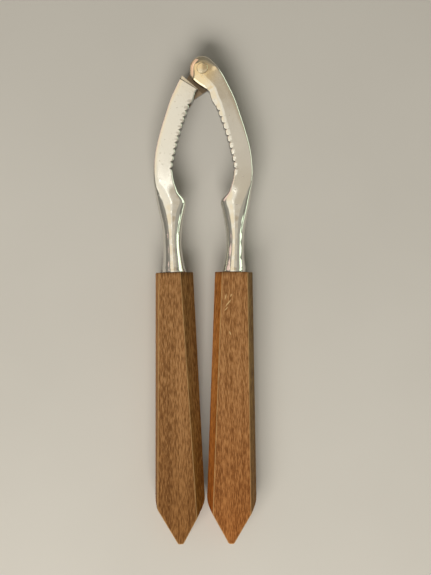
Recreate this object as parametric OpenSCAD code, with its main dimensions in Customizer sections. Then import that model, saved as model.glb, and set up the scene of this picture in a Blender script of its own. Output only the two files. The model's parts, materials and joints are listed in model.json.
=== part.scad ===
// Nutcracker: two forged steel arms with toothed jaws, lapped and riveted at the head,
// each with a faceted hardwood handle glued on its tang. It lies flat on the handles' backs,
// head towards +Y and right arm towards +X, closed against the stop in the lap joint.

/* [Overall] */
// From the top of the head to the tips of the handles
overall_length = 210; // [205:1:215]
// Gap between the handles, between the shoulders' corners before they are rounded
handle_gap = 0.8; // [0.6:0.1:1.4]

/* [Arms] */
// Thickness of the flat jaws
jaw_thickness = 6.8; // [6.4:0.1:7.2]
// Radius along the long edges of the jaws
edge_radius = 0.7; // [0.3:0.1:0.9]
// Radius of the round head about the pivot
head_radius = 5.5; // [5.4:0.1:5.6]
// Angle of each arm off the centre line where it leaves the pivot
lap_angle = 32.5; // [31.5:0.5:33.5]
// From the pivot to the shoulder where an arm gets its full thickness
shoulder_distance = 9.1; // [9:0.1:9.4]
// Space between the two lapped halves
lap_gap = 0.1; // [0.06:0.02:0.2]
// Space at the stop when the handles are closed
stop_gap = 0.1; // [0.06:0.02:0.2]
// Length of the tang inside each handle
tang_length = 93; // [70:1:96]
// Diameter of the tang
tang_diameter = 7.4; // [6:0.1:7.6]

/* [Teeth] */
// Number of notches in each jaw
notch_count = 11; // [8:1:11]
// Distance from one notch to the next
notch_pitch = 2.85; // [2.7:0.05:2.9]
// Depth of a notch
notch_depth = 0.9; // [0.6:0.1:1.1]

/* [Rivet] */
// Diameter of the shank, which is the pivot pin
shank_diameter = 4.2; // [4:0.1:4.4]
// Diameter of the countersunk peened heads
rivet_head_diameter = 4.9; // [4.7:0.1:5.1]
// Radial clearance between the rivet and the arm that turns on it
running_clearance = 0.05; // [0.03:0.01:0.08]
// Height of the low dome that stands proud of each arm
dome_height = 0.35; // [0.2:0.05:0.5]

/* [Handles] */
// Thickness between the front and back faces
handle_thickness = 14; // [13:0.5:15]
// Width at the end that meets the steel
handle_front_width = 16.2; // [15.8:0.1:17]
// Width at the shoulders, the widest place
handle_widest = 21.5; // [20.5:0.1:22]
// Length of the pointed end
point_length = 17; // [15:1:19]
// Width of the blunt tip
tip_width = 2.2; // [1.4:0.2:3]
// Angle of each handle towards the centre line
handle_lean = 1; // [0.8:0.1:1.1]
// Width of the left handle's bevels on the side next to the other handle
left_inner_bevel = 4.8; // [3.5:0.1:5.5]
// Width of the left handle's outer bevels
left_outer_bevel = 1.3; // [1:0.1:3]
// Width of the right handle's bevels on the side next to the other handle
right_inner_bevel = 2.9; // [2:0.1:5]
// Width of the right handle's outer bevels
right_outer_bevel = 2.3; // [1:0.1:3]

/* [Hidden] */
$fn = 96;
overlap = 0.01;
handle_drop = 88;        // from the pivot down to the handles' front ends
collar_length = 1.2;
collar_diameter = 10.5;
glue_gap = 0.1;
ridge_flat = 0.5;        // height of the narrow flat along a handle's side ridge
shoulder_round = 9;      // radius of the corners where a handle's point starts
pivot_y = overall_length / 2 - head_radius;
mid_z = handle_thickness / 2;
half_jaw = jaw_thickness / 2;
handle_length = pivot_y + overall_length / 2 - handle_drop;
taper_length = handle_length - point_length;
taper_angle = atan((handle_widest - handle_front_width) / 2 / taper_length);
handle_x = (handle_gap + handle_widest) / 2 + taper_length * sin(handle_lean);
steel = "#c9c3b4";
rivet_steel = "#d8cfba";
left_wood = "#8f6232";
right_wood = "#a0602c";

ledge_drop = 0.4;        // how far the shoulder's ledge lies below the jaw's face

// Every outline below is the right arm's, with the pivot at [0, 0] and +X outwards.
// The lap's edges down to the first row: how far below the pivot, inner edge, outer edge
lap_rows = [[10.2, 3.0, 12.7], [14, 4.6, 14.3]];
// Rows down the arm from the lap joint to the collar. Each is the drop below the pivot,
// the inner and outer edges, the thickness, and the radius of the section's corners.
arm_rows = [
    [14, 4.6, 14.3, jaw_thickness, edge_radius], [20, 7.0, 16.3, jaw_thickness, edge_radius],
    [28, 9.7, 18.8, jaw_thickness, edge_radius], [36, 11.8, 20.7, jaw_thickness, edge_radius],
    [43, 13.1, 21.4, jaw_thickness, edge_radius], [48.5, 12.5, 21.4, jaw_thickness, 1.0],
    [53.5, 10.5, 20.8, jaw_thickness, 1.8], [57.5, 7.6, 20.2, jaw_thickness, 2.6],
    [62, 8.2, 19.3, 7.3, 3.3], [68, 9.2, 18.1, 7.9, 4], [75, 9.65, 17.6, 7.95, 4],
    [82, 8.9, 17.6, 8.7, 5], [87, 7.9, 18.2, 10.3, 6]
];

// The upper lap's inner side from the head to the jaw, and its outer side
upper_nose = [[-5.45, -0.6], [-5.35, -3.0], [-3.9, -5.2], [-1.2, -7.4], [1.6, -9.0]];
upper_back = [[6.2, 1.4], [9.3, -3.4]];
// The lower lap is narrower at the head, and runs straight across to the stop
lower_head_radius = 5.2;
lower_nose = [[-5.2, -0.6], [-5.3, -4.2], [-4.6, -6.8]];
lower_back = [[5.0, -1.4], [6.9, -4.5]];
stop_from = 1.2;         // the stop face's ends, measured along it from the pivot's foot
stop_to = 10.8;

// The long gentle arc that the notches lie on, hollow on the side of the nut
tooth_arc_radius = 133.3;
tooth_arc_centre = [-118.4, -64.6];
first_notch_angle = 21.4;

// A smooth curve through a list of points (Catmull-Rom), with steps between each pair
function between(a, b, c, d, t) =
    0.5 * (2 * b + (c - a) * t + (2 * a - 5 * b + 4 * c - d) * t * t
        + (3 * b - a - 3 * c + d) * t * t * t);
function at_index(points, i) = points[max(0, min(len(points) - 1, i))];
function smooth(points, steps) = concat(
    [for (i = [0:len(points) - 2]) for (s = [0:steps - 1])
        between(at_index(points, i - 1), points[i], points[i + 1],
            at_index(points, i + 2), s / steps)],
    [points[len(points) - 1]]);
function reversed(list) = [for (i = [len(list) - 1:-1:0]) list[i]];
function arc(radius, from, to, steps, centre = [0, 0]) =
    [for (i = [0:steps]) let (a = from + (to - from) * i / steps)
        centre + radius * [cos(a), sin(a)]];

// Plan of the head and lap: inner edge upwards, round the head, outer edge downwards
function upper_plan() = concat(
    reversed(smooth(concat(upper_nose, [for (row = lap_rows) [row[1], -row[0]]]), 5)),
    arc(head_radius, 170, 50, 16),
    smooth(concat(upper_back, [for (row = lap_rows) [row[2], -row[0]]]), 5));

// Plan of the lower lap, whose straight edge meets the other arm's shoulder when closed
function lower_plan() =
    let (across = [cos(lap_angle), -sin(lap_angle)],
        foot = (shoulder_distance - stop_gap) * [-sin(lap_angle), -cos(lap_angle)])
    concat(lower_nose, [foot + stop_from * across, foot + stop_to * across, [9, -9]],
        reversed(lower_back));

// Plan of the ledge at the lower arm's shoulder, wider at its outer end
function ledge_plan() =
    let (across = [cos(lap_angle), sin(lap_angle)], along = [sin(lap_angle), -cos(lap_angle)],
        root = shoulder_distance + 0.3)
    [for (p = [[-2.2, root], [-2.2, shoulder_distance - 0.6], [4.8, shoulder_distance - 1.5],
        [4.8, root]]) p[0] * across + p[1] * along];

module past_shoulder() {
    rotate([0, 0, lap_angle]) translate([-40, -80]) square([80, 80 - shoulder_distance]);
}

// The part of the lap below the shoulder, where the arm has its full thickness
module shoulder_block() {
    translate([0, 0, -half_jaw]) linear_extrude(jaw_thickness) intersection() {
        polygon(upper_plan());
        past_shoulder();
    }
}

// V notches cut square through the jaw's inner edge
module notches() {
    step = notch_pitch / tooth_arc_radius * 180 / PI;
    side = notch_depth * sqrt(2);
    for (i = [0:notch_count - 1])
        translate(tooth_arc_centre) rotate([0, 0, first_notch_angle - i * step])
            translate([tooth_arc_radius, 0]) rotate([0, 0, 45])
                cube([side, side, 2 * jaw_thickness], center = true);
}

// One ring of the arm: a rounded rectangle, which turns into a circle down the neck
function ring(row) =
    let (centre = (row[1] + row[2]) / 2, half_width = (row[2] - row[1]) / 2,
        half_height = row[3] / 2, least_flat = 0.05,
        radius = min(row[4], half_width - least_flat, half_height - least_flat),
        across = half_width - radius, up = half_height - radius, steps = 5)
    [for (corner = [[1, 1, 0], [-1, 1, 90], [-1, -1, 180], [1, -1, 270]])
        for (i = [0:steps]) let (a = corner[2] + 90 * i / steps)
            [centre + corner[0] * across + radius * cos(a), -row[0],
                corner[1] * up + radius * sin(a)]];

module jaw_and_neck() {
    rings = [for (row = smooth(arm_rows, 4)) ring(row)];
    count = len(rings[0]);
    last = len(rings) - 1;
    polyhedron(
        points = [for (r = rings) for (p = r) p],
        faces = concat(
            [[for (i = [0:count - 1]) i]],
            [for (r = [0:last - 1]) for (i = [0:count - 1]) let (j = (i + 1) % count)
                [r * count + j, r * count + i, (r + 1) * count + i, (r + 1) * count + j]],
            [[for (i = [count - 1:-1:0]) last * count + i]]));
}

// Puts its children at the front end of the right handle, with -Y along the handle
module at_handle() {
    translate([handle_x, -handle_drop, 0]) rotate([0, 0, -handle_lean]) children();
}

// Everything of an arm below the lap: jaw, neck, collar and tang
module below_lap() {
    shoulder_block();
    jaw_and_neck();
    at_handle() {
        rotate([-90, 0, 0]) cylinder(d = collar_diameter, h = collar_length);
        rotate([90, 0, 0]) cylinder(d = tang_diameter, h = tang_length);
    }
}

// The countersunk pivot hole, with the countersink on top
module pivot_hole(clearance) {
    sink = (rivet_head_diameter - shank_diameter) / 2;
    cylinder(d = shank_diameter + 2 * clearance, h = 4 * jaw_thickness, center = true);
    translate([0, 0, half_jaw - sink])
        cylinder(d1 = shank_diameter + 2 * clearance,
            d2 = rivet_head_diameter + 2 * clearance, h = sink + overlap);
}

module in_place() {
    translate([0, pivot_y, mid_z]) children();
}

module right_arm() {
    color(steel) in_place() difference() {
        union() {
            translate([0, 0, lap_gap / 2]) linear_extrude(half_jaw - lap_gap / 2)
                polygon(upper_plan());
            below_lap();
        }
        notches();
        pivot_hole(running_clearance);
    }
}

module left_arm() {
    color(steel) in_place() mirror([1, 0, 0]) difference() {
        union() {
            translate([0, 0, -half_jaw]) linear_extrude(half_jaw - lap_gap / 2) {
                circle(lower_head_radius);
                polygon(lower_plan());
            }
            translate([0, 0, -half_jaw]) linear_extrude(jaw_thickness - ledge_drop)
                polygon(ledge_plan());
            below_lap();
        }
        notches();
        mirror([0, 0, 1]) pivot_hole(0);
    }
}

module pivot_rivet() {
    head = rivet_head_diameter / 2;
    shank = shank_diameter / 2;
    sink = head - shank;
    dome_radius = (head * head / dome_height + dome_height) / 2;
    dome_angle = asin(head / dome_radius);
    dome_centre = half_jaw + dome_height - dome_radius;
    color(rivet_steel) in_place() rotate_extrude()
        polygon(concat(
            arc(dome_radius, -90, -90 + dome_angle, 6, [0, -dome_centre]),
            [[shank, -half_jaw + sink], [shank, half_jaw - sink]],
            arc(dome_radius, 90 - dome_angle, 90, 6, [0, dome_centre])));
}

// Plan of a handle: a long taper, rounded shoulders and a blunt point
function handle_plan() =
    let (wide = handle_widest / 2, tip = tip_width / 2,
        point_angle = atan((wide - tip) / point_length),
        back = shoulder_round * tan((point_angle + taper_angle) / 2),
        centre = [wide - back * sin(taper_angle) - shoulder_round * cos(taper_angle),
            -taper_length + back * cos(taper_angle) - shoulder_round * sin(taper_angle)],
        side = concat([[handle_front_width / 2, 0]],
            arc(shoulder_round, taper_angle, -point_angle, 8, centre),
            [[tip, -handle_length]]))
    concat(side, [for (p = reversed(side)) [-p[0], p[1]]]);

// What one bevel takes off the front half of a handle's outer side
module bevel_cut(width) {
    slope = atan(width / (handle_thickness / 2 - ridge_flat / 2));
    translate([handle_front_width / 2, 0, ridge_flat / 2]) rotate([0, 0, taper_angle])
        rotate([0, -slope, 0]) translate([0, -handle_length - 5, 0])
            cube([20, handle_length + 10, 20]);
}

module handle(inner_bevel, outer_bevel) {
    difference() {
        linear_extrude(handle_thickness, center = true) polygon(handle_plan());
        for (up = [0, 1]) mirror([0, 0, up]) {
            mirror([1, 0, 0]) bevel_cut(inner_bevel);
            bevel_cut(outer_bevel);
        }
        translate([0, 1, 0]) rotate([90, 0, 0])
            cylinder(d = tang_diameter + 2 * glue_gap, h = tang_length + 2);
    }
}

module left_handle() {
    color(left_wood) in_place() mirror([1, 0, 0]) at_handle()
        handle(left_inner_bevel, left_outer_bevel);
}

module right_handle() {
    color(right_wood) in_place() at_handle() handle(right_inner_bevel, right_outer_bevel);
}

left_arm();
right_arm();
pivot_rivet();
left_handle();
right_handle();
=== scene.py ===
import json
import math

import bmesh
import bpy
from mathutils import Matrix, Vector


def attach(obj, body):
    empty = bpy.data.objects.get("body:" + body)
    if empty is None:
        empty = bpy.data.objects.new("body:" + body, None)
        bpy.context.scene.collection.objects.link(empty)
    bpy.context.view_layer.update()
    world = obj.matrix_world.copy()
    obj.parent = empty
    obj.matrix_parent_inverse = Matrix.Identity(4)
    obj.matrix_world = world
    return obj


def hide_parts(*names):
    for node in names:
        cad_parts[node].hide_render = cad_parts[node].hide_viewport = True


# Hand nutcracker: the visible model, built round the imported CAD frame.
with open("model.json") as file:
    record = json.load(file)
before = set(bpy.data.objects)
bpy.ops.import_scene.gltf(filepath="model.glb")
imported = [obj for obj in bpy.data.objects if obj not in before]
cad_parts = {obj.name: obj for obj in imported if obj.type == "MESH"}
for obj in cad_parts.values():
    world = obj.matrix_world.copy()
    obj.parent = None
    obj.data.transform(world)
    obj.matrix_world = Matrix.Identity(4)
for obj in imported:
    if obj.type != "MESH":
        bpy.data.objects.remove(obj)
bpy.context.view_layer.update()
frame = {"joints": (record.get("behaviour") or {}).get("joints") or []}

MM = 0.001
PIVOT = Vector(frame["joints"][0]["pos_m"])

# All sizes below are in mm from the pivot, as in the CAD: X outwards, Y towards the head
# and Z up. Both arms are drawn as the right one is, and the left one is turned over.
HALF_JAW = 3.4           # half thickness of the jaws
LAP_FACE = 0.05          # half the space between the two lapped halves
LAP_ANGLE = math.radians(32.5)
ALONG = Vector((math.sin(LAP_ANGLE), -math.cos(LAP_ANGLE)))    # down the lap, in plan
SHOULDER = 9.1           # along the lap, where the half thickness becomes the full one
UPPER_HEAD, LOWER_HEAD = 5.5, 5.2    # radii of the two round heads
HANDLE_FRONT = 88.0      # from the pivot down to the handles' front ends
HANDLE_X = 12.886        # the handles' axes at their front ends
HANDLE_LEAN = math.radians(1.0)
BORE, BORE_DEPTH = 3.8, 94.0         # radius and depth of a handle's bore
TANG, TANG_LENGTH = 3.7, 93.0        # radius and length of the tang inside it

# Plan outlines of an arm, down its inner and outer edges
JAW_INNER_TOP = (1.6, -9.0)
JAW_OUTER_TOP = (9.3, -3.4)
INNER_BODY = [(3.0, -10.2), (3.9, -13.6), (4.8, -15.2), (5.6, -16.6), (6.9, -20),
              (9.6, -28), (11.8, -36), (13.1, -43), (12.6, -48.5), (10.6, -53.3),
              (7.5, -57.2), (8.2, -62), (9.2, -68), (9.65, -75), (8.9, -82), (7.9, -87)]
OUTER_BODY = [(12.7, -10.2), (14.3, -14), (16.3, -20), (18.8, -28), (20.7, -36), (21.4, -43),
              (21.4, -48.5), (20.8, -53.5), (20.2, -57.5), (19.3, -62), (18.1, -68),
              (17.6, -75), (17.6, -82), (18.2, -87)]
UPPER_NOSE = [(-5.45, -0.6), (-5.35, -3.0), (-3.9, -5.2), (-1.2, -7.4), JAW_INNER_TOP]
UPPER_BACK = [(6.2, 1.4), JAW_OUTER_TOP]
LOWER_NOSE = [(-5.2, -0.6), (-5.3, -4.2), (-4.6, -6.8)]
LOWER_BACK = [(5.0, -1.4), (6.9, -4.5), (8.2, -7.5)]
NECK_X = 14.5            # a line that stays inside the arm from the jaw to its foot

# Down the arm: drop below the pivot, half thickness, radius along the outer edges,
# radius along the inner edges
SECTIONS = [(9, 3.4, 0.75, 0.7), (44, 3.4, 0.75, 0.7), (50, 3.4, 1.1, 0.9),
            (54, 3.4, 2.2, 1.9), (58, 3.45, 3.2, 2.9), (62, 3.6, 3.5, 3.5),
            (68, 3.95, 3.95, 3.95), (75, 4.3, 4.2, 4.2), (82, 4.7, 4.6, 4.6),
            (87, 5.0, 5.0, 5.0)]
# How far the section has turned from a flat bar to an oval, by drop
CROWN = [(49, 0.0), (64, 1.0), (82, 1.0), (87, 0.0)]
OVAL = 2.2               # power of the oval: 2 is an ellipse, more is squarer

# The bevel inside each jaw: its width by drop, and how steeply it falls
RIGHT_BEVELS = [(-5, 4.6), (0, 4.4), (4.8, 3.7), (8.3, 2.4), (12.6, 2.4), (16, 1.9),
                (22, 1.3), (35, 0.9), (57, 0.6)]
LEFT_BEVELS = [(-5, 0.5), (8, 0.5), (14, 0.8), (57, 0.6)]
RIGHT_SLOPE, LEFT_SLOPE = 0.14, 0.25
RIGHT_DOME, LEFT_DOME = 1.1, 0.6     # how far the round heads fall off at their rims

# The teeth lie on a shallow arc, from the first notch below the lap downwards
TOOTH_ARC_RADIUS = 133.3
TOOTH_ARC_CENTRE = Vector((-118.4, -64.6))
FIRST_NOTCH = math.radians(21.4)
NOTCH_STEP = 2.85 / TOOTH_ARC_RADIUS
NOTCHES = 11
NOTCH_DEPTH = 0.9

# The ledge at the left arm's shoulder, from its edge to its foot: place along the lap,
# turn, and height from the arm's middle
LEDGE = [(8.2, math.radians(8), 3.0), (8.84, math.radians(1), 3.02)]

# Numbers of steps round a corner and across a flat of one ring of an arm
CORNER = 8
FLAT = 7
SMOOTH = 8               # steps between two points of a plan outline
SHARP_ANGLE = math.radians(35)


def catmull(points, steps):
    """A smooth curve through a list of tuples, with so many steps between each pair."""
    out = []
    last = len(points) - 1
    for i in range(last):
        a, b = points[max(i - 1, 0)], points[i]
        c, d = points[i + 1], points[min(i + 2, last)]
        for s in range(steps):
            t = s / steps
            out.append(tuple(
                0.5 * (2 * q + (r - p) * t + (2 * p - 5 * q + 4 * r - v) * t * t
                       + (3 * q - p - 3 * r + v) * t ** 3)
                for p, q, r, v in zip(a, b, c, d)))
    out.append(tuple(points[last]))
    return out


def lookup(rows, x, column=1):
    """Smooth value of a column of a table whose first column is x, held at both ends."""
    if x <= rows[0][0]:
        return rows[0][column]
    for low, high in zip(rows, rows[1:]):
        if x <= high[0]:
            t = ease((x - low[0]) / (high[0] - low[0]))
            return low[column] + (high[column] - low[column]) * t
    return rows[-1][column]


def ease(t):
    """Smooth step from 0 to 1."""
    t = min(1.0, max(0.0, t))
    return t * t * (3 - 2 * t)


def crossings(outline, point, direction):
    """Where a line meets an outline, nearest behind and ahead of a point, in mm along it."""
    behind, ahead = -1e9, 1e9
    for (x0, y0), (x1, y1) in zip(outline, outline[1:]):
        ex, ey = x1 - x0, y1 - y0
        cross = direction[0] * ey - direction[1] * ex
        if abs(cross) < 1e-9:
            continue
        qx, qy = x0 - point[0], y0 - point[1]
        along = (qx * ey - qy * ex) / cross
        edge = (qx * direction[1] - qy * direction[0]) / cross
        if -1e-9 <= edge <= 1 + 1e-9:
            if along > 0:
                ahead = min(ahead, along)
            else:
                behind = max(behind, along)
    return behind, ahead


def distance_to(outline, x, y):
    """Distance from a point to an outline."""
    best = 1e9
    for (x0, y0), (x1, y1) in zip(outline, outline[1:]):
        ex, ey = x1 - x0, y1 - y0
        t = ((x - x0) * ex + (y - y0) * ey) / (ex * ex + ey * ey + 1e-12)
        t = min(1.0, max(0.0, t))
        best = min(best, (x - x0 - t * ex) ** 2 + (y - y0 - t * ey) ** 2)
    return math.sqrt(best)


def arc(centre, radius, start, end, steps):
    """Points on an arc from one angle to another, in degrees."""
    turn = [math.radians(start + (end - start) * i / steps) for i in range(steps + 1)]
    return [(centre[0] + radius * math.cos(a), centre[1] + radius * math.sin(a))
            for a in turn]


def jaw_outline():
    """The inner and the outer edge of a jaw and its neck."""
    inner = catmull(INNER_BODY, SMOOTH)
    return [JAW_INNER_TOP] + inner, [JAW_OUTER_TOP] + catmull(OUTER_BODY, SMOOTH)


def upper_outline():
    """The upper lap with its arm, from the inner foot round the head to the outer foot."""
    inner = catmull(UPPER_NOSE + INNER_BODY, SMOOTH)
    outer = catmull(UPPER_BACK + OUTER_BODY, SMOOTH)
    return inner[::-1] + arc((0, 0), UPPER_HEAD, 170, 50, 40) + outer


def lower_outline():
    """The lower lap, whose straight inner edge meets the other arm's shoulder."""
    sn, cs = math.sin(LAP_ANGLE), math.cos(LAP_ANGLE)
    foot = (-(SHOULDER - 0.1) * sn, -(SHOULDER - 0.1) * cs)
    edge = [(foot[0] + along * cs, foot[1] - along * sn) for along in (1.2, 5.0, 10.8)]
    below = [p for p in catmull(INNER_BODY, SMOOTH) if p[1] < edge[-1][1] - 0.3]
    outer = [p for p in catmull(UPPER_BACK + OUTER_BODY, SMOOTH)
             if p[0] * ALONG.x + p[1] * ALONG.y > SHOULDER + 0.6]
    return ((LOWER_NOSE + edge + below)[::-1] + arc((0, 0), LOWER_HEAD, 188, 8, 48)
            + catmull(LOWER_BACK, 4) + outer)


class Station:
    """One ring across an arm: where it is, its own axes, the depth of the notch there in mm
    and how far the lap's edges have turned into the jaw's."""

    def __init__(self, centre, tilt, join=1.0, notch=0.0):
        self.centre = centre
        self.tilt = tilt
        self.join = join
        self.notch = notch

    def across(self):
        """The ring's own axis from its inner to its outer edge, in plan."""
        return Vector((math.cos(self.tilt), math.sin(self.tilt)))

    def in_plan(self, points):
        """Turns points (across, height) into points (x, y, z)."""
        across = self.across()
        return [(self.centre.x + across.x * b, self.centre.y + across.y * b, z)
                for b, z in points]


def lap_stations(head_radius, ledge):
    """Rings from the round end of the head to the shoulder or its ledge."""
    last, last_tilt = ledge[0][:2] if ledge else (SHOULDER, 0.0)
    last -= 0.04
    turns = [2, 7, 13, 20, 28, 36, 45, 54, 63, 72, 81, 90]
    along = [-head_radius * math.cos(math.radians(t)) for t in turns]
    count = 9
    along += [last * (i + 1) / count for i in range(count)]
    tilts = [LAP_ANGLE] * (len(along) - 1) + [LAP_ANGLE + last_tilt]
    blend = 2.2
    return [Station(ALONG * a, tilt, ease((a - last) / blend + 1))
            for a, tilt in zip(along, tilts)]


def notch_profile(phase):
    """Depth of the jaw's notches, one to each whole phase: valleys between round teeth."""
    if phase < -0.5 or phase > NOTCHES - 0.5:
        return 0.0
    lobe = abs(math.sin(math.pi * phase))
    return NOTCH_DEPTH * (1 - lobe ** 0.62)


def jaw_stations():
    """Rings from the shoulder, down the toothed jaw and the neck, to the handle."""
    out = []
    first, last = -0.5, NOTCHES - 0.5
    behind_teeth = 5

    def on_arc(phase):
        angle = FIRST_NOTCH - phase * NOTCH_STEP
        spoke = Vector((math.cos(angle), math.sin(angle)))
        return TOOTH_ARC_CENTRE + (TOOTH_ARC_RADIUS + behind_teeth) * spoke, angle

    start, start_tilt = ALONG * SHOULDER, LAP_ANGLE
    end, end_tilt = on_arc(first)
    gap = 9
    for i in range(1, gap):
        t = i / gap
        out.append(Station(start.lerp(end, t), start_tilt + (end_tilt - start_tilt) * t))
    steps = 12
    for i in range(NOTCHES * steps + 1):
        phase = first + i / steps
        centre, tilt = on_arc(phase)
        out.append(Station(centre, tilt, notch=notch_profile(phase)))
    centre, tilt = on_arc(last)
    drop = -centre.y
    inner, outer = jaw_outline()
    away = Vector((1, 0))
    step, collar = 0.75, 2.4
    while drop < HANDLE_FRONT - collar:
        drop += step
        angle = tilt * (1 - ease((drop + centre.y) / 16))
        left = crossings(inner, (NECK_X, -drop), away)[0]
        right = crossings(outer, (NECK_X, -drop), away)[1]
        middle = Vector((NECK_X + (left + right) / 2, -drop))
        shift = ease((drop + centre.y) / 8)
        anchor = Vector((centre.x * (1 - shift) + middle.x * shift, -drop))
        out.append(Station(anchor, angle))
    return out


def edges_at(station, outline):
    """Inner and outer edge on a station's line, in mm from its centre."""
    return crossings(outline, station.centre, station.across())


class ArmShape:
    """What differs between the two arms: the lap's outline, the ledge at the shoulder, the
    bevel inside the jaw and the fall of the round head."""

    def __init__(self, lap_outline, head_radius, ledge, bevels, slope, dome):
        self.lap_outline = lap_outline
        self.head_radius = head_radius
        self.ledge = ledge
        self.bevels = bevels
        self.slope = slope
        self.dome = dome


def flat_points(start, end, crease):
    """Positions across a flat, one of them on the crease where the inner bevel starts."""
    crease = min(max(crease, start + 0.03), end - 0.2)
    rest = [crease + (end - crease) * i / (FLAT - 2) for i in range(1, FLAT - 2)]
    return [start + (crease - start) * 0.5, crease, *rest]


def full_ring(station, shape, jaw):
    """Points (across, height) of a ring of the full thickness, from the inner top edge.
    Its inner side has a step, of no width below the shoulder, that meets the lap."""
    inner, outer = edges_at(station, jaw)
    lap_inner = edges_at(station, shape.lap_outline)[0]
    drop = -station.centre.y
    half = lookup(SECTIONS, drop, 1)
    width = outer - inner
    least = min(width / 2 - 0.12, half - 0.12)
    r_out = min(lookup(SECTIONS, drop, 2), least)
    r_in = min(lookup(SECTIONS, drop, 3), least)
    crease = inner + lookup(shape.bevels, drop)
    inner += station.notch
    shoulder_end = 14.5
    lap_inner = min(inner, lap_inner) if drop < shoulder_end else inner

    crown = lookup(CROWN, drop)
    middle = (inner + outer) / 2

    def bevelled(points, sign):
        out = []
        for b, z in points:
            limit = half - max(0.0, crease - b) * shape.slope
            side = min(1.0, abs(b - middle) / (width / 2))
            oval = half * (1 - side ** OVAL) ** (1 / OVAL)
            height = min(sign * z, limit)
            out.append((b, sign * (height + (min(height, oval) - height) * crown)))
        return out

    top = arc((lap_inner + r_in, half - r_in), r_in, 180, 90, CORNER)
    top += [(b, half) for b in flat_points(lap_inner + r_in, outer - r_out, crease)]
    top += arc((outer - r_out, half - r_out), r_out, 90, 0, CORNER)
    low = arc((outer - r_out, r_out - half), r_out, 0, -90, CORNER)
    flat = flat_points(inner + r_in, outer - r_out, crease)
    low += [(b, -half) for b in reversed(flat)]
    low += arc((inner + r_in, r_in - half), r_in, -90, -180, CORNER)
    outside = [(outer, (half - r_out + LAP_FACE) / 2), (outer, LAP_FACE),
               (outer, (r_out - half) / 2)]
    inside = [(inner, (r_in - half) / 2), (inner, LAP_FACE), (lap_inner, LAP_FACE),
              (lap_inner, (half - r_in + LAP_FACE) / 2)]
    outside, inside = [[(b, z * (1 - crown)) for b, z in side] for side in (outside, inside)]
    return bevelled(top, 1) + outside + bevelled(low, -1) + inside


def lap_ring(station, shape):
    """Points (across, height) of a ring of the half-thickness lap, as many as full_ring's."""
    outline = shape.lap_outline
    inner, outer = edges_at(station, outline)
    inner, outer = inner + 0.001, outer - 0.001
    drop = -station.centre.y
    width = outer - inner
    spread_in = min(0.5 + 0.2 * station.join, width * 0.3)
    spread_out = min(1.8 - 1.05 * station.join, width * 0.3)
    crease = inner + lookup(shape.bevels, drop)
    across = station.across()
    start = [inner + spread_in * (1 - math.cos(math.pi / 2 * i / CORNER))
             for i in range(CORNER + 1)]
    flat = flat_points(inner + spread_in, outer - spread_out, crease)
    end = [outer - spread_out * (1 - math.sin(math.pi / 2 * i / CORNER))
           for i in range(CORNER + 1)]
    rim_width = 0.8 - 0.05 * station.join
    top = []
    for b in start + flat + end:
        point = station.centre + across * b
        part = max(0.0, 1 - distance_to(outline, point.x, point.y) / rim_width)
        rim = rim_width * (1 - math.sqrt(max(0.0, 1 - part * part)))
        round_end = ease((3.5 - point.dot(ALONG)) / 5.5)    # 1 on the head, 0 down the lap
        dome = shape.dome * (point.length / UPPER_HEAD) ** 2.6 * round_end
        facet = max(0.0, crease - b) * shape.slope
        crown = max(dome, facet * (1 - round_end * 0.6))
        top.append((b, HALF_JAW - max(crown, rim) - min(crown, rim) * (1 - station.join)))
    wall_out, wall_in = top[-1][1], top[0][1]
    count = 2 * (CORNER + 1) + FLAT - 1 + 3
    under = [(outer + (inner - outer) * (i + 1) / count, LAP_FACE) for i in range(count)]
    return (top + [(outer, (wall_out + LAP_FACE) / 2), (outer, LAP_FACE)] + under
            + [(inner, LAP_FACE), (inner, (wall_in + LAP_FACE) / 2)])


def tail_rings(angles):
    """The collar that meets the wood and the tang inside the handle, in handle axes."""
    chamfer = 0.6
    profile = ((-1.0, 5.12), (-0.45, 5.2), (-0.12, 5.17), (0, 5.05), (0, TANG),
               (TANG_LENGTH - chamfer, TANG), (TANG_LENGTH, TANG - chamfer))
    return [[(radius * math.cos(a), -y, radius * math.sin(a)) for a in angles]
            for y, radius in profile]


def shoulder_rings(shape, jaw):
    """The shoulder and, on the left arm, a low ledge that is wider at its outer end."""
    shoulder = Station(ALONG * SHOULDER, LAP_ANGLE)
    points = full_ring(shoulder, shape, jaw)
    rings = []
    for along, tilt, height in shape.ledge:
        station = Station(ALONG * along, LAP_ANGLE + tilt)
        rings.append(station.in_plan([(b, max(z, -height)) for b, z in points]))
    return rings + [shoulder.in_plan(points)]


def arm_points(shape):
    """All rings of an arm as lists of points in mm from the pivot, right arm's way round."""
    jaw = jaw_outline()
    jaw = jaw[0][::-1] + jaw[1]
    rings = []
    for station in lap_stations(shape.head_radius, shape.ledge):
        rings.append(station.in_plan(lap_ring(station, shape)))
    rings += shoulder_rings(shape, jaw)
    for station in jaw_stations():
        rings.append(station.in_plan(full_ring(station, shape, jaw)))
    angles = [math.atan2(z, x - HANDLE_X) for x, y, z in rings[-1]]
    return rings + [from_handle_axes(ring) for ring in tail_rings(angles)]


def from_handle_axes(ring):
    """Turns points in a handle's axes, from its front end, into points from the pivot."""
    lean_cos, lean_sin = math.cos(HANDLE_LEAN), math.sin(HANDLE_LEAN)
    return [(HANDLE_X + x * lean_cos + y * lean_sin,
             -HANDLE_FRONT - x * lean_sin + y * lean_cos, z) for x, y, z in ring]


# ---------------------------------------------------------------- meshes


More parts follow.
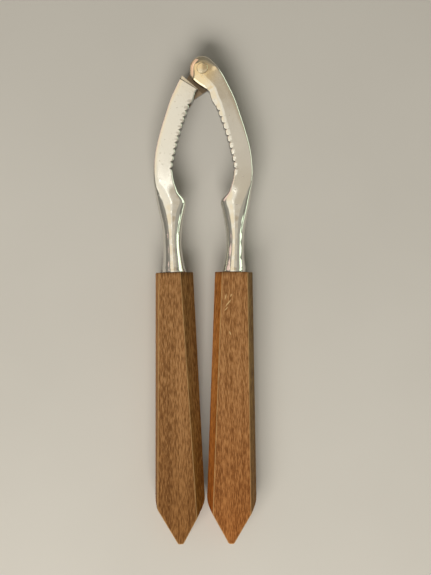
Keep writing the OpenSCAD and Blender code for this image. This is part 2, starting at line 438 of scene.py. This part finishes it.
def loft(name, rings, place):
    """A closed mesh through rings of points; place() turns a point into metres."""
    bm = bmesh.new()
    rows = [[bm.verts.new(place(p)) for p in ring] for ring in rings]
    count = len(rows[0])
    for a, b in zip(rows, rows[1:]):
        for i in range(count):
            j = (i + 1) % count
            bm.faces.new((a[j], a[i], b[i], b[j]))
    bm.faces.new(rows[0])
    bm.faces.new(rows[-1][::-1])
    bmesh.ops.remove_doubles(bm, verts=bm.verts, dist=2e-6)
    bmesh.ops.dissolve_degenerate(bm, edges=bm.edges, dist=1e-6)
    bmesh.ops.connect_verts_nonplanar(bm, angle_limit=math.radians(3), faces=bm.faces)
    bmesh.ops.recalc_face_normals(bm, faces=bm.faces)
    return finish_mesh(name, bm)


def smooth(mesh, sharp=SHARP_ANGLE):
    """Smooth shading, with sharp edges where the faces turn by more than an angle."""
    for poly in mesh.polygons:
        poly.use_smooth = True
    mesh.set_sharp_from_angle(angle=sharp)


def finish_mesh(name, bm, sharp=SHARP_ANGLE):
    """Turns a bmesh into an object in the scene."""
    mesh = bpy.data.meshes.new(name)
    bm.to_mesh(mesh)
    bm.free()
    smooth(mesh, sharp)
    obj = bpy.data.objects.new(name, mesh)
    bpy.context.collection.objects.link(obj)
    return obj


def right_place(p):
    """A point in metres on the right side."""
    return PIVOT + Vector(p) * MM


def left_place(p):
    """The same point mirrored to the left side."""
    return PIVOT + Vector((-p[0], p[1], p[2])) * MM


def lower_place(p):
    """The left arm is the right one turned over, so its lap is the lower one."""
    return PIVOT + Vector((-p[0], p[1], -p[2])) * MM


def build_arms():
    """The right arm, whose lap is the upper one, and the left arm."""
    right = ArmShape(upper_outline(), UPPER_HEAD, [], RIGHT_BEVELS, RIGHT_SLOPE, RIGHT_DOME)
    left = ArmShape(lower_outline(), LOWER_HEAD, LEDGE, LEFT_BEVELS, LEFT_SLOPE, LEFT_DOME)
    arms = []
    for name, shape, place, node, body in (
            ("right_arm_steel", right, right_place, "right_arm", "right_side"),
            ("left_arm_steel", left, lower_place, "left_arm", "left_side")):
        arm = loft(name, arm_points(shape), place)
        drill(arm)
        side = 1 if body == "right_side" else -1
        mark_tint_and_scuffs(arm, side)
        mark_raw_and_painted_shade(arm, side)
        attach(arm, body)
        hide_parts(node)
        arms.append(arm)
    return arms


def mark_tint_and_scuffs(arm, side):
    """Marks a warm tint on the upper lap's head and the scuffed patch on the left neck."""
    warm = arm.data.attributes.new("warm", "FLOAT", "POINT")
    scuffed = arm.data.attributes.new("scuffed", "FLOAT", "POINT")
    for vertex in arm.data.vertices:
        place = (vertex.co - PIVOT) / MM
        from_tint = Vector((place.x + 2, place.y + 1.5)).length
        from_scuffs = Vector((place.x + 16, (place.y + 51) / 1.6)).length
        warm.data[vertex.index].value = ease((11 - from_tint) / 7) if side > 0 else 0.0
        scuffed.data[vertex.index].value = ease((9 - from_scuffs) / 6) if side < 0 else 0.0


def mark_raw_and_painted_shade(arm, side):
    """Marks the lap's face, which was left unpolished, and paints dark shade on it near the
    pivot, and near-black shade on the foot of the ledge and on the walls inside the jaws,
    down to the neck. The side is 1 for the right arm and -1 for the left one, whose lap faces
    up."""
    along = Vector((ALONG.x * side, ALONG.y, 0))
    raw = arm.data.attributes.new("raw", "FLOAT", "FACE")
    painted_shade = arm.data.attributes.new("painted_shade", "FLOAT", "FACE")
    for poly in arm.data.polygons:
        centre = (poly.center - PIVOT) / MM
        drop = -centre.y
        reach = centre.dot(along)
        lap_face = abs(centre.z - side * LAP_FACE) < 0.02 and centre.x * side < 12
        ledge_foot = LEDGE[1][0] < reach < SHOULDER - 0.02 and centre.z * side < -1
        wall = abs(poly.normal.z) < 0.45 and poly.normal.x * side < 0.3
        # Painted shade: darkens the lap's face near the pivot by half, and the ledge's foot
        # and the walls inside the jaws fully, fading out down the neck.
        if lap_face:
            raw.data[poly.index].value = 1.0
            painted_shade.data[poly.index].value = 0.5 if reach < LEDGE[0][0] else 0.0
        elif ledge_foot:
            painted_shade.data[poly.index].value = 1.0
        elif wall and drop > -3 and poly.normal.dot(along) > -0.7:
            painted_shade.data[poly.index].value = 1 - ease((drop - 43) / 5)


def turned(name, profile, steps=64):
    """A closed solid turned about the pivot axis from (radius, height) pairs, top first."""
    bm = bmesh.new()
    rows = [[bm.verts.new(right_place((r * math.cos(2 * math.pi * i / steps),
                                       r * math.sin(2 * math.pi * i / steps), z)))
             for i in range(steps)] for r, z in profile[1:-1]]
    for a, b in zip(rows, rows[1:]):
        for i in range(steps):
            j = (i + 1) % steps
            bm.faces.new((a[i], b[i], b[j], a[j]))
    for row, z in ((rows[0], profile[0][1]), (rows[-1], profile[-1][1])):
        tip = bm.verts.new(right_place((0, 0, z)))
        for i in range(steps):
            bm.faces.new((row[i], row[(i + 1) % steps], tip))
    bmesh.ops.recalc_face_normals(bm, faces=bm.faces)
    return finish_mesh(name, bm, math.radians(60))


def close_gaps(mesh):
    """Fills any thin triangle the cut has left open."""
    bm = bmesh.new()
    bm.from_mesh(mesh)
    bmesh.ops.remove_doubles(bm, verts=bm.verts, dist=1e-7)
    bmesh.ops.holes_fill(bm, edges=[edge for edge in bm.edges if edge.is_boundary], sides=4)
    bmesh.ops.recalc_face_normals(bm, faces=bm.faces)
    bm.to_mesh(mesh)
    bm.free()


def drill(arm):
    """Cuts the countersunk hole for the rivet through an arm's lap."""
    hole, sink = 2.13, 2.47
    half = [(0, 5), (sink, 5), (sink, 3.3), (hole, 2.95)]
    cutter = turned("cutter", half + [(r, -z) for r, z in reversed(half)])
    cut = arm.modifiers.new("hole", "BOOLEAN")
    cut.operation = "DIFFERENCE"
    cut.solver = "EXACT"
    cut.object = cutter
    bpy.context.view_layer.update()
    graph = bpy.context.evaluated_depsgraph_get()
    mesh = bpy.data.meshes.new_from_object(arm.evaluated_get(graph))
    arm.modifiers.clear()
    arm.data = mesh
    close_gaps(mesh)
    smooth(mesh)
    bpy.data.objects.remove(cutter)


# ---------------------------------------------------------------- handles


FRONT_HALF, WIDE_HALF, TIP_HALF = 8.1, 10.75, 1.1    # half widths down the handle
POINT = 17.0             # length of the pointed end
HANDLE_LENGTH = 116.5
TAPER = HANDLE_LENGTH - POINT
HALF_WOOD = 7.0          # half thickness
RIDGE = 0.25             # half the height of the narrow flat along a side ridge
SHOULDER_ROUND = 9.0     # radius in plan where the point starts
EDGE_ROUND = 0.42        # radius along the edges
SECTION_STEPS = 3        # steps round an edge


def handle_outline():
    """Half width of a handle's plan down its length, as (distance, half width)."""
    taper = math.atan((WIDE_HALF - FRONT_HALF) / TAPER)
    point = math.atan((WIDE_HALF - TIP_HALF) / POINT)
    back = SHOULDER_ROUND * math.tan((point + taper) / 2)
    cx = WIDE_HALF - back * math.sin(taper) - SHOULDER_ROUND * math.cos(taper)
    cy = TAPER - back * math.cos(taper) + SHOULDER_ROUND * math.sin(taper)
    out = [(0.0, FRONT_HALF)]
    steps = 16
    for i in range(steps + 1):
        a = taper + (-point - taper) * i / steps
        out.append((cy - SHOULDER_ROUND * math.sin(a), cx + SHOULDER_ROUND * math.cos(a)))
    out.append((HANDLE_LENGTH, TIP_HALF))
    return out


def straight(rows, x):
    """Value of a table by straight lines between its rows."""
    for (x0, v0), (x1, v1) in zip(rows, rows[1:]):
        if x <= x1:
            return v0 + (v1 - v0) * (x - x0) / (x1 - x0)
    return rows[-1][1]


def meet(p, q):
    """Where two lines (angle, distance) meet."""
    (a, d), (b, e) = p, q
    det = math.cos(a) * math.sin(b) - math.sin(a) * math.cos(b)
    return ((d * math.sin(b) - e * math.sin(a)) / det,
            (e * math.cos(a) - d * math.cos(b)) / det)


def rounded_section(planes, inset, radius, steps):
    """Closed section of a convex shape given by lines, with all its corners rounded. A
    line that the others cut off leaves its points at their corner."""
    lines = [(angle, reach - inset - radius) for angle, reach in planes]
    count = len(lines)
    alive = [True] * count
    for _ in range(2):
        for i in range(count):
            before = next(lines[(i - k) % count] for k in range(1, count)
                          if alive[(i - k) % count])
            after = next(lines[(i + k) % count] for k in range(1, count)
                         if alive[(i + k) % count])
            if abs(math.sin(after[0] - before[0])) < 1e-6:
                continue
            x, y = meet(before, after)
            a, d = lines[i]
            alive[i] = x * math.cos(a) + y * math.sin(a) > d + 1e-6
    points = []
    for i in range(count):
        j = (i + 1) % count
        first = next(lines[(i - k) % count] for k in range(count) if alive[(i - k) % count])
        second = next(lines[(j + k) % count] for k in range(count) if alive[(j + k) % count])
        x, y = meet(first, second)
        a, b = lines[i][0], lines[j][0]
        if b < a:
            b += 2 * math.pi
        for s in range(steps + 1):
            t = a + (b - a) * s / steps
            points.append((x + radius * math.cos(t), y + radius * math.sin(t)))
    return points


class HandleShape:
    """Widths of a handle's long bevels, inner and outer, by distance from its front."""

    def __init__(self, inner_bevels, outer_bevels):
        self.inner_bevels = inner_bevels
        self.outer_bevels = outer_bevels


def handle_ring(shape, outline, s, inset):
    """A ring round a handle at distance s from its front, drawn in by an inset."""
    wall = straight(outline, s)
    taper = FRONT_HALF + (WIDE_HALF - FRONT_HALF) * s / TAPER

    def bevel(width):
        slope = math.atan2(width, HALF_WOOD - RIDGE)
        reach = taper * math.cos(slope) + RIDGE * math.sin(slope)
        return slope, reach

    outer, outer_reach = bevel(straight(shape.outer_bevels, s))
    inner, inner_reach = bevel(straight(shape.inner_bevels, s))
    planes = [(0.0, wall), (outer, outer_reach), (math.pi / 2, HALF_WOOD),
              (math.pi - inner, inner_reach), (math.pi, wall), (math.pi + inner, inner_reach),
              (3 * math.pi / 2, HALF_WOOD), (2 * math.pi - outer, outer_reach)]
    return rounded_section(planes, inset, EDGE_ROUND, SECTION_STEPS)


def handle_points(shape):
    """All rings of a handle: up its bore from the bottom, then down its outside."""
    outline = handle_outline()
    coarse, fine = 2.0, 0.7
    stops = [(0.0, EDGE_ROUND * 0.7), (0.12, 0.12), (0.3, 0.0)]    # (distance, inset)
    s = coarse
    while s < TAPER - 10:
        stops.append((s, 0.0))
        s += coarse
    while s < HANDLE_LENGTH - 0.6:
        stops.append((s, 0.0))
        s += fine
    stops += [(HANDLE_LENGTH - 0.4, 0.0), (HANDLE_LENGTH - 0.15, 0.1), (HANDLE_LENGTH, 0.35)]
    rings = []
    count = 8 * (SECTION_STEPS + 1)
    turns = [math.radians(360 * i / count) for i in range(count)]
    for radius, depth in ((BORE * 0.5, BORE_DEPTH + 1), (BORE, BORE_DEPTH), (BORE, 0.0)):
        rings.append([(radius * math.cos(a), -depth, radius * math.sin(a)) for a in turns])
    for s, inset in stops:
        ring = handle_ring(shape, outline, s, inset)
        rings.append([(x, -s, z) for x, z in ring])
    return rings


def mark_worn(handle, side):
    """Marks the rounded edges, where the wood is worn lighter, and the side faces, which get
    painted light and shade.
    """
    worn = handle.data.attributes.new("worn", "FLOAT", "FACE")
    inner = handle.data.attributes.new("inner", "FLOAT", "FACE")
    outer = handle.data.attributes.new("outer", "FLOAT", "FACE")
    edge_face = 0.9 * MM * MM        # smaller faces lie along the edges, rim and tip
    for poly in handle.data.polygons:
        outwards = poly.normal.x * side
        worn.data[poly.index].value = 1.0 if poly.area < edge_face else 0.0
        inner.data[poly.index].value = 1.0 if outwards < -0.6 else 0.0
        outer.data[poly.index].value = 1.0 if outwards > 0.6 else 0.0


def build_handles():
    """The left and the right handle, whose bevels differ."""
    left = HandleShape([(0, 5.3), (96, 3.8), (120, 3.6)], [(0, 1.6), (120, 1.1)])
    right = HandleShape([(0, 3.0), (120, 2.7)], [(0, 2.2), (120, 2.6)])
    out = []
    for name, shape, place, node, body, slot in (
            ("left_handle_wood", left, left_place, "left_handle", "left_side", "left_teak"),
            ("right_handle_wood", right, right_place, "right_handle", "right_side",
             "right_teak")):
        rings = [from_handle_axes(ring) for ring in handle_points(shape)]
        handle = loft(name, rings, place)
        mark_worn(handle, -1 if body == "left_side" else 1)
        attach(handle, body)
        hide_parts(node)
        out.append(handle)
    return out


# ---------------------------------------------------------------- rivet


def build_rivet():
    """A shank and two low peened heads, each a hair smaller than its countersink."""
    half = [(0.0, 3.49), (0.8, 3.485), (1.5, 3.465), (1.95, 3.44), (2.2, 3.4),
            (2.33, 3.34), (2.38, 3.25), (2.08, 2.95)]
    rivet = turned("rivet_steel", half + [(r, -z) for r, z in reversed(half)])
    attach(rivet, "left_side")
    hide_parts("pivot_rivet")
    return rivet


# ---------------------------------------------------------------- materials


class Nodes:
    """A material's node tree, with short calls for its nodes and links."""

    def __init__(self, name):
        self.material = bpy.data.materials.new(name)
        self.material.use_nodes = True
        self.tree = self.material.node_tree
        self.tree.nodes.clear()
        self.shader = self.add("ShaderNodeBsdfPrincipled")
        output = self.add("ShaderNodeOutputMaterial")
        self.link(self.shader.outputs["BSDF"], output.inputs["Surface"])
        self.place = self.add("ShaderNodeTexCoord").outputs["Object"]

    def add(self, kind, **settings):
        node = self.tree.nodes.new(kind)
        for key, value in settings.items():
            setattr(node, key, value)
        return node

    def link(self, out, into):
        self.tree.links.new(out, into)

    def feed(self, value, socket):
        """Links a node's output to a socket, or sets it to a number or a colour."""
        if isinstance(value, (int, float)):
            socket.default_value = value
        elif isinstance(value, tuple):
            socket.default_value = (*value, 1)
        else:
            self.link(value, socket)

    def attribute(self, name):
        return self.add("ShaderNodeAttribute", attribute_name=name).outputs["Fac"]

    def mapped(self, scale, rotation=(0, 0, 0), location=(0, 0, 0)):
        """Places stretched for a texture; the scale is per metre."""
        node = self.add("ShaderNodeMapping")
        node.inputs["Scale"].default_value = scale
        node.inputs["Rotation"].default_value = rotation
        node.inputs["Location"].default_value = location
        self.link(self.place, node.inputs["Vector"])
        return node.outputs["Vector"]

    def noise(self, vector, scale, detail=3.0, roughness=0.55, distortion=0.0):
        node = self.add("ShaderNodeTexNoise")
        node.inputs["Scale"].default_value = scale
        node.inputs["Detail"].default_value = detail
        node.inputs["Roughness"].default_value = roughness
        node.inputs["Distortion"].default_value = distortion
        self.link(vector, node.inputs["Vector"])
        return node.outputs["Fac"]

    def ramp(self, factor, stops):
        """Colours by factor, from a list of (position, colour)."""
        node = self.add("ShaderNodeValToRGB")
        elements = node.color_ramp.elements
        while len(elements) > len(stops):
            elements.remove(elements[-1])
        while len(elements) < len(stops):
            elements.new(0.5)
        for element, (position, colour) in zip(elements, stops):
            element.position = position
            element.color = (*colour, 1)
        self.link(factor, node.inputs["Fac"])
        return node.outputs["Color"]

    def spread(self, factor, low, high, to_low=0.0, to_high=1.0):
        """Stretches the range from low to high to another range, and holds its ends."""
        node = self.add("ShaderNodeMapRange")
        for key, value in (("From Min", low), ("From Max", high), ("To Min", to_low),
                           ("To Max", to_high)):
            node.inputs[key].default_value = value
        self.link(factor, node.inputs["Value"])
        return node.outputs["Result"]

    def mix(self, factor, a, b, blend="MIX"):
        """Blends two colours. Sockets 6 and 7 in and 2 out are the node's colour ones."""
        node = self.add("ShaderNodeMix", data_type="RGBA", blend_type=blend)
        for value, index in ((factor, 0), (a, 6), (b, 7)):
            self.feed(value, node.inputs[index])
        return node.outputs[2]

    def tinted(self, factor, colour, tint):
        """A colour multiplied by a tint where the factor is 1."""
        return self.mix(factor, colour, self.mix(1.0, colour, tint, "MULTIPLY"))

    def calc(self, operation, a, b):
        node = self.add("ShaderNodeMath", operation=operation)
        self.feed(a, node.inputs[0])
        self.feed(b, node.inputs[1])
        return node.outputs["Value"]

    def spot(self, place, size, turn):
        """A soft oval mark: 1 in its middle and 0 at its edge. Millimetres and degrees."""
        node = self.add("ShaderNodeMapping", vector_type="TEXTURE")
        node.inputs["Location"].default_value = PIVOT + Vector(place) * MM
        node.inputs["Rotation"].default_value = (0, 0, math.radians(turn))
        node.inputs["Scale"].default_value = Vector(size) * MM
        self.link(self.place, node.inputs["Vector"])
        ball = self.add("ShaderNodeTexGradient", gradient_type="SPHERICAL")
        self.link(node.outputs["Vector"], ball.inputs["Vector"])
        return self.spread(ball.outputs["Fac"], 0.0, 0.6)

    def bump(self, height, strength, distance, normal=None):
        """A normal from a height; the distance is in metres."""
        node = self.add("ShaderNodeBump")
        node.inputs["Strength"].default_value = strength
        node.inputs["Distance"].default_value = distance
        self.link(height, node.inputs["Height"])
        if normal is not None:
            self.link(normal, node.inputs["Normal"])
        return node.outputs["Normal"]


def steel(name, colour, worn):
    """Polished steel with faint clouding, fine scratches and small specks of wear; rough and
    brown-grey on the unpolished lap face, near black where an arm's attributes mark painted
    shade, and with a warm tint on the upper lap's head."""
    n = Nodes(name)
    cloud = n.noise(n.place, 90, 4)
    specks = n.noise(n.place, 900, 2, 0.7)
    scratch = n.noise(n.mapped((2200, 90, 400), (0, 0, math.radians(22))), 1, 2)
    cross = n.noise(n.mapped((1800, 70, 400), (0, 0, math.radians(-38))), 1, 2)
    tone = n.ramp(cloud, [(0.3, tuple(c * 0.93 for c in colour)), (0.7, colour)])
    pit = n.spread(specks, 0.66, 0.74)
    base = n.mix(n.calc("MULTIPLY", pit, worn), tone, (0.22, 0.19, 0.15))
    raw = n.attribute("raw")
    base = n.mix(raw, base, (0.34, 0.27, 0.20))
    # Painted shade: near black where the arm marks the shaded walls, the ledge's foot and the
    # lap near the pivot.
    base = n.mix(n.attribute("painted_shade"), base, (0.05, 0.04, 0.03))
    base = n.tinted(n.attribute("warm"), base, (1.0, 0.88, 0.66))
    n.link(base, n.shader.inputs["Base Color"])
    n.shader.inputs["Metallic"].default_value = 1.0
    rough = n.calc("ADD", n.spread(cloud, 0.3, 0.7, 0.07, 0.13), n.calc("MULTIPLY", pit, 0.3))
    rough = n.calc("ADD", rough, n.calc("MULTIPLY", raw, 0.3))
    n.link(rough, n.shader.inputs["Roughness"])
    wave_height, line_height = 0.006 * MM, 0.02 * MM
    waves = n.bump(n.noise(n.place, 260, 2), 1.0, wave_height)
    grains = n.calc("MULTIPLY", n.noise(n.place, 1500, 2, 0.7), n.attribute("scuffed"))
    waves = n.bump(grains, 1.0, wave_height, waves)
    lines = n.calc("ADD", scratch, cross)
    n.link(n.bump(lines, 0.06, line_height, waves), n.shader.inputs["Normal"])
    return n.material


TIP_TONE = (-0.03, -0.105)    # where the end tone starts and is full, in metres along Y

# Small marks in the wood: place from the pivot, half sizes, turn, colour
FRESH = (0.62, 0.42, 0.20)
RIGHT_NICKS = [((10.3, -101.3, 7), (0.35, 2.4, 2), -40, FRESH),
               ((11.6, -98.0, 7), (0.3, 1.0, 2), -30, FRESH),
               ((9.2, -98.6, 7), (0.3, 1.5, 2), -15, FRESH),
               ((9.4, -103.8, 7), (0.25, 1.4, 2), -42, FRESH),
               ((11.0, -114.2, 7), (0.35, 1.1, 2), 20, FRESH)]
LEFT_NICKS = [((-1.7, -165.6, 4), (0.5, 0.9, 4), 0, (0.04, 0.015, 0.006)),
              ((-1.7, -168.4, 4), (0.35, 1.6, 4), 0, FRESH)]


def wood(name, dark, mid, light, pore, glow, end_tone, inner_painted_light, inner_end_painted_light,
         outer_painted_light, nicks, seed):
    """Oiled teak: straight grain along the handle, short dark pores and lighter streaks.
    The end tone multiplies the colour toward the tip, and the side tones paint light and
    shade on the inner and outer bevels, for how the light falls on each."""
    n = Nodes(name)
    fibre = n.noise(n.mapped((2100, 130, 1500), location=(seed, 0, 0)), 1, 3, 0.65, 0.3)
    bands = n.noise(n.mapped((500, 7, 360), location=(seed, 3, 0)), 1, 3, 0.55, 0.4)
    broad = n.noise(n.mapped((110, 9, 90), location=(0, seed, 2)), 1, 2, 0.5)
    flecks = n.noise(n.mapped((2300, 320, 2000), (0, 0, 0.06), (0, seed, 0)), 1, 2, 0.6)
    tone = n.calc("ADD", n.calc("MULTIPLY", fibre, 0.46), n.calc("MULTIPLY", bands, 0.32))
    tone = n.calc("ADD", tone, n.calc("MULTIPLY", broad, 0.22))
    base = n.ramp(tone, [(0.42, dark), (0.5, mid), (0.58, light)])
    pores = n.spread(flecks, 0.51, 0.61)
    shine = n.spread(flecks, 0.49, 0.39)
    colour = n.mix(n.calc("MULTIPLY", pores, 0.48), base, pore)
    colour = n.mix(n.calc("MULTIPLY", shine, 0.5), colour, glow)
    split = n.add("ShaderNodeSeparateXYZ")
    n.link(n.place, split.inputs["Vector"])
    toward_tip = n.spread(split.outputs["Y"], *TIP_TONE)
    colour = n.tinted(toward_tip, colour, end_tone)
    # Painted light and shade on the bevels: the inner and outer sides are brightened or
    # darkened and tinted, and the inner side changes again toward the tip.
    inner = n.attribute("inner")
    colour = n.tinted(inner, colour, inner_painted_light)
    colour = n.tinted(n.calc("MULTIPLY", inner, toward_tip), colour, inner_end_painted_light)
    colour = n.tinted(n.attribute("outer"), colour, outer_painted_light)
    worn = n.calc("MULTIPLY", n.attribute("worn"), 0.5)
    colour = n.mix(worn, colour, (0.52, 0.34, 0.15))
    for place, size, turn, mark in nicks:
        colour = n.mix(n.spot(place, size, turn), colour, mark)
    n.link(colour, n.shader.inputs["Base Color"])
    n.link(n.spread(fibre, 0.3, 0.7, 0.48, 0.62), n.shader.inputs["Roughness"])
    n.shader.inputs["Specular IOR Level"].default_value = 0.1
    height = n.calc("SUBTRACT", n.calc("MULTIPLY", fibre, 0.5), pores)
    n.link(n.bump(height, 0.3, 0.1 * MM), n.shader.inputs["Normal"])
    return n.material


def floor_material():
    """A plain pale floor with the faintest clouding."""
    n = Nodes("pale_floor")
    cloud = n.noise(n.place, 9, 3)
    n.link(n.ramp(cloud, [(0.3, (0.60, 0.585, 0.55)), (0.7, (0.63, 0.615, 0.58))]),
           n.shader.inputs["Base Color"])
    n.shader.inputs["Roughness"].default_value = 0.85
    n.shader.inputs["Specular IOR Level"].default_value = 0.2
    return n.material


# ---------------------------------------------------------------- stage


def build_floor():
    """A wide floor a tenth of a millimetre below the nutcracker."""
    bm = bmesh.new()
    bmesh.ops.create_grid(bm, x_segments=8, y_segments=8, size=12)
    bmesh.ops.translate(bm, verts=bm.verts, vec=(0, 0, -0.1 * MM))
    floor = finish_mesh("floor", bm)
    floor.data.materials.append(floor_material())


CEILING = 0.95           # height of the row of soft panels overhead


def area_light(name, place, aim, size, radiance, colour, fills=False):
    """A soft rectangle of even brightness. Most are only there to be mirrored in the
    steel; the one that fills the scene lights wood and floor and isn't mirrored."""
    data = bpy.data.lights.new(name, "AREA")
    data.shape = "RECTANGLE"
    data.size, data.size_y = size
    data.energy = radiance * math.pi * size[0] * size[1]
    data.color = colour
    lamp = bpy.data.objects.new(name, data)
    lamp.location = place
    if aim is not None:
        turn = (Vector(aim) - Vector(place)).to_track_quat("-Z", "Y")
        lamp.rotation_euler = turn.to_euler()
    lamp.visible_camera = False
    lamp.visible_glossy = not fills
    lamp.visible_diffuse = fills
    bpy.context.collection.objects.link(lamp)
    return lamp


def ceiling_panel(name, x_range, y_range, radiance, colour, below=0.0):
    """A panel of the ceiling that shines straight down."""
    place = (sum(x_range) / 2, sum(y_range) / 2, CEILING - below)
    size = (x_range[1] - x_range[0], y_range[1] - y_range[0])
    return area_light(name, place, None, size, radiance, colour)


def build_lights():
    """The panels that the steel mirrors, and last the one light for wood and floor."""
    middle, jaws = (0, 0.02, 0), (0, 0.06, 0)
    ceiling_panel("cream", (-0.11, -0.01), (-0.45, 0.26), 0.78, (1, 0.94, 0.81))
    ceiling_panel("warm_side", (-0.61, -0.11), (-0.45, 0.14), 0.86, (1, 0.93, 0.78))
    ceiling_panel("warm_far", (-0.61, -0.11), (0.14, 0.26), 0.84, (1, 0.86, 0.62))
    ceiling_panel("yellow_far", (-0.61, -0.01), (0.26, 0.6), 0.80, (1, 0.82, 0.54))
    ceiling_panel("grey_side", (-1.3, -0.61), (-0.3, 0.3), 0.10, (1, 0.95, 0.85))
    ceiling_panel("peach_side", (-1.2, -0.61), (0.3, 0.9), 0.45, (1, 0.80, 0.66))
    ceiling_panel("dim_near", (-0.01, 0.41), (-0.45, 0.15), 0.41, (1, 0.86, 0.66))
    ceiling_panel("dim_middle", (-0.01, 0.41), (0.15, 0.225), 0.47, (1, 0.90, 0.76))
    ceiling_panel("dim_far", (-0.01, 0.41), (0.225, 0.6), 0.27, (1, 0.74, 0.42))
    ceiling_panel("dim_side", (0.41, 1.1), (-0.3, 0.3), 0.20, (1, 0.95, 0.80))
    ceiling_panel("head_soft", (-0.3, 0.5), (0.6, 0.85), 0.14, (1, 0.85, 0.62))
    ceiling_panel("lamp", (-0.068, -0.051), (0.117, 0.135), 3.2, (1, 1, 0.98), 0.02)
    area_light("rose", (-0.62, 0.50, 0.42), middle, (0.78, 0.5), 0.72, (1, 0.67, 0.60))
    area_light("rim_left", (-0.62, -0.46, 0.60), jaws, (0.5, 0.9), 1.3, (1, 0.96, 0.84))
    area_light("mint", (0.75, 0.37, 0.30), jaws, (0.66, 0.48), 1.65, (0.82, 1, 0.75))
    area_light("mint_low", (0.78, -0.18, 0.12), (0, 0, 0), (0.44, 0.14), 1.4,
               (0.82, 1, 0.75))
    area_light("key", (-0.2, -0.78, 0.70), middle, (1.0, 0.5), 8.0, (1, 0.95, 0.87),
               fills=True)


def build_world():
    """Dim warm light from everywhere else."""
    world = bpy.data.worlds.new("studio")
    bpy.context.scene.world = world
    world.use_nodes = True
    background = world.node_tree.nodes["Background"]
    background.inputs["Color"].default_value = (0.82, 0.78, 0.67, 1)
    background.inputs["Strength"].default_value = 0.30


def build_camera():
    """Straight above, with a hair of turn."""
    data = bpy.data.cameras.new("camera")
    data.lens = 75.1
    data.sensor_width = 36
    data.clip_start, data.clip_end = 0.01, 10
    camera = bpy.data.objects.new("camera", data)
    camera.location = (0.0049, 0.00485, 0.527)
    camera.rotation_euler = (0, 0, math.radians(-0.48))
    bpy.context.collection.objects.link(camera)
    bpy.context.scene.camera = camera


arms = build_arms()
handles = build_handles()
rivet = build_rivet()
steel_material = steel("polished_steel", (0.78, 0.76, 0.71), 0.35)
for arm in arms:
    arm.data.materials.append(steel_material)
rivet.data.materials.append(steel("rivet_steel", (0.76, 0.66, 0.48), 0.5))
# The inner and outer tones below are painted light and shade on each handle's bevels.
handles[0].data.materials.append(wood(
    "left_teak", dark=(0.19, 0.083, 0.026), mid=(0.285, 0.135, 0.047),
    light=(0.39, 0.20, 0.080), pore=(0.10, 0.038, 0.011), glow=(0.50, 0.28, 0.12),
    end_tone=(0.66, 0.58, 0.45), inner_painted_light=(0.82, 0.84, 0.70), inner_end_painted_light=(1.6, 1.6, 1.3),
    outer_painted_light=(1.2, 1.1, 0.85), nicks=LEFT_NICKS, seed=1.0))
handles[1].data.materials.append(wood(
    "right_teak", dark=(0.21, 0.085, 0.025), mid=(0.31, 0.142, 0.049),
    light=(0.42, 0.21, 0.083), pore=(0.11, 0.040, 0.011), glow=(0.53, 0.29, 0.12),
    end_tone=(0.90, 0.70, 0.50), inner_painted_light=(1.38, 1.12, 0.72),
    inner_end_painted_light=(0.64, 0.54, 0.43), outer_painted_light=(0.75, 0.88, 0.7), nicks=RIGHT_NICKS,
    seed=7.0))
build_floor()
build_lights()
build_world()
build_camera()
bpy.context.scene.view_settings.view_transform = "Standard"
